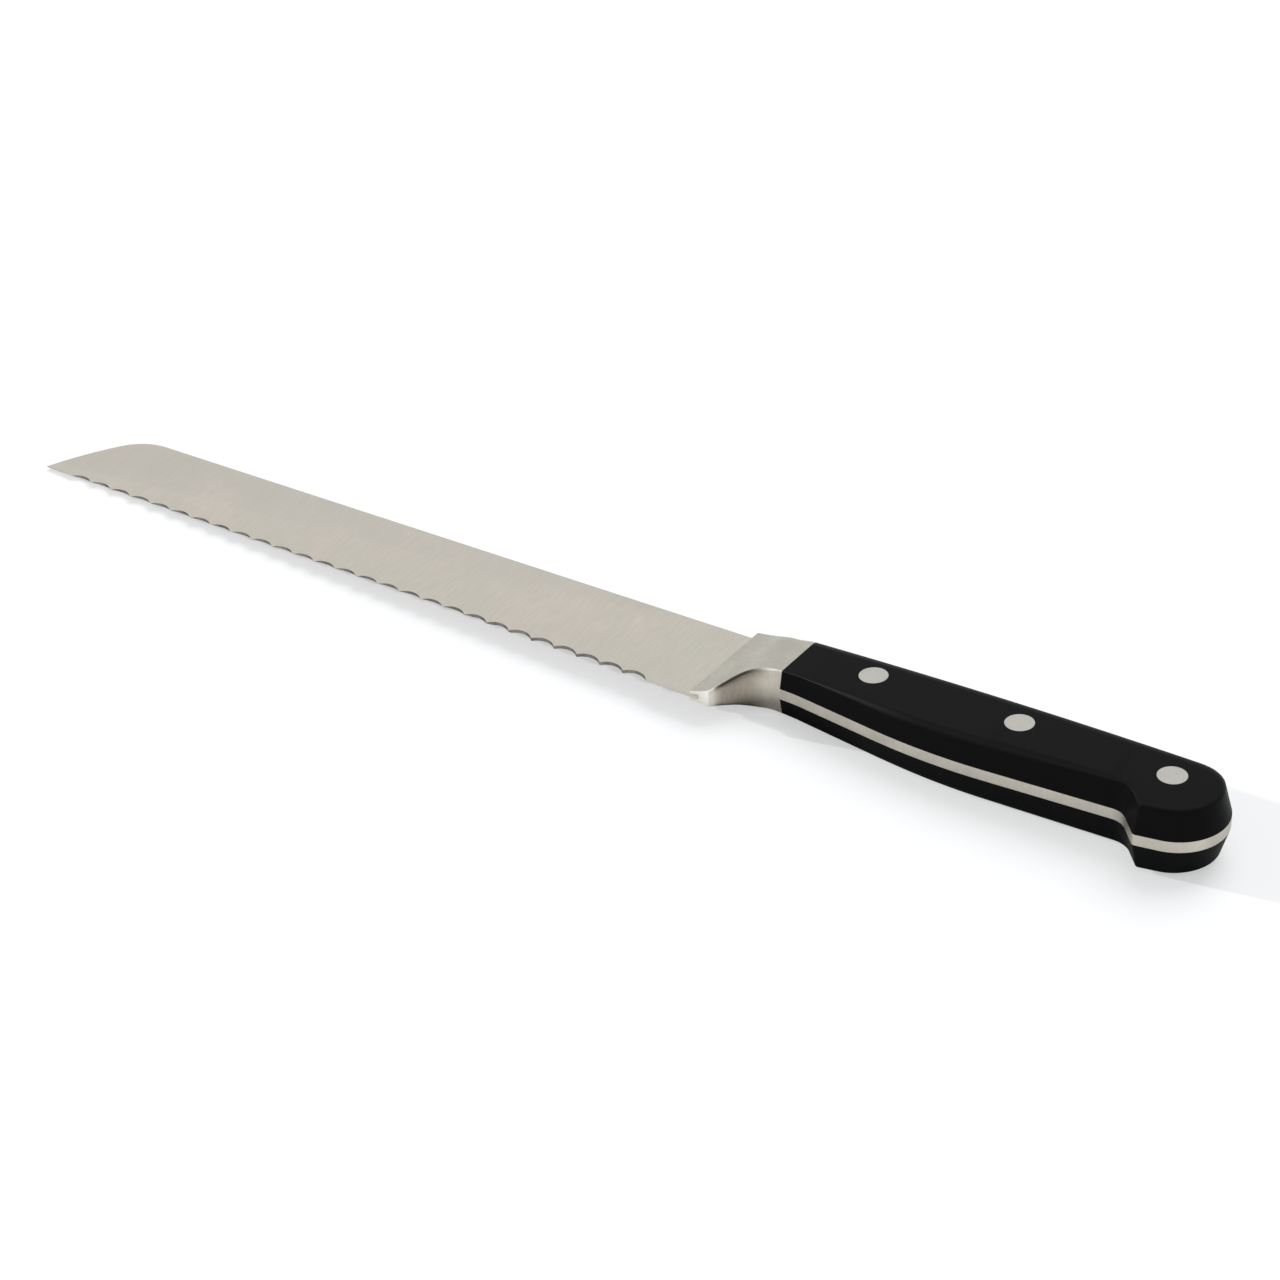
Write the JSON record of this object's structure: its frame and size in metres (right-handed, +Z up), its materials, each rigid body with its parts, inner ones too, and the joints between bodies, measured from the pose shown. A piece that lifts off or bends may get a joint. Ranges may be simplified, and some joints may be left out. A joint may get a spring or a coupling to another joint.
{
  "type": "bread knife",
  "caption": "Serrated bread knife: blade, bolster and full tang forged in one piece, between two black handle scales held by hollow rivets.",
  "frame": {"origin": "middle of the knife's bounding box, on the surface that the knife lies on", "axes": "+X runs from the point to the butt, -Y is the cutting edge's side, +Z is up, out of the left side of the knife"},
  "size_m": [0.3226, 0.0294, 0.0176],
  "materials": {
    "blade_steel": "satin, finely brushed",
    "handle_plastic": "fine satin",
    "rivet_steel": "satin, ground flush"
  },
  "bodies": {
    "root": {"blade_forging": "blade_steel", "left_scale": "handle_plastic", "right_scale": "handle_plastic", "rivet_1_pin": "rivet_steel", "rivet_1_sleeve": "rivet_steel", "rivet_2_pin": "rivet_steel", "rivet_2_sleeve": "rivet_steel", "rivet_3_pin": "rivet_steel", "rivet_3_sleeve": "rivet_steel"}
  },
  "joints": []
}
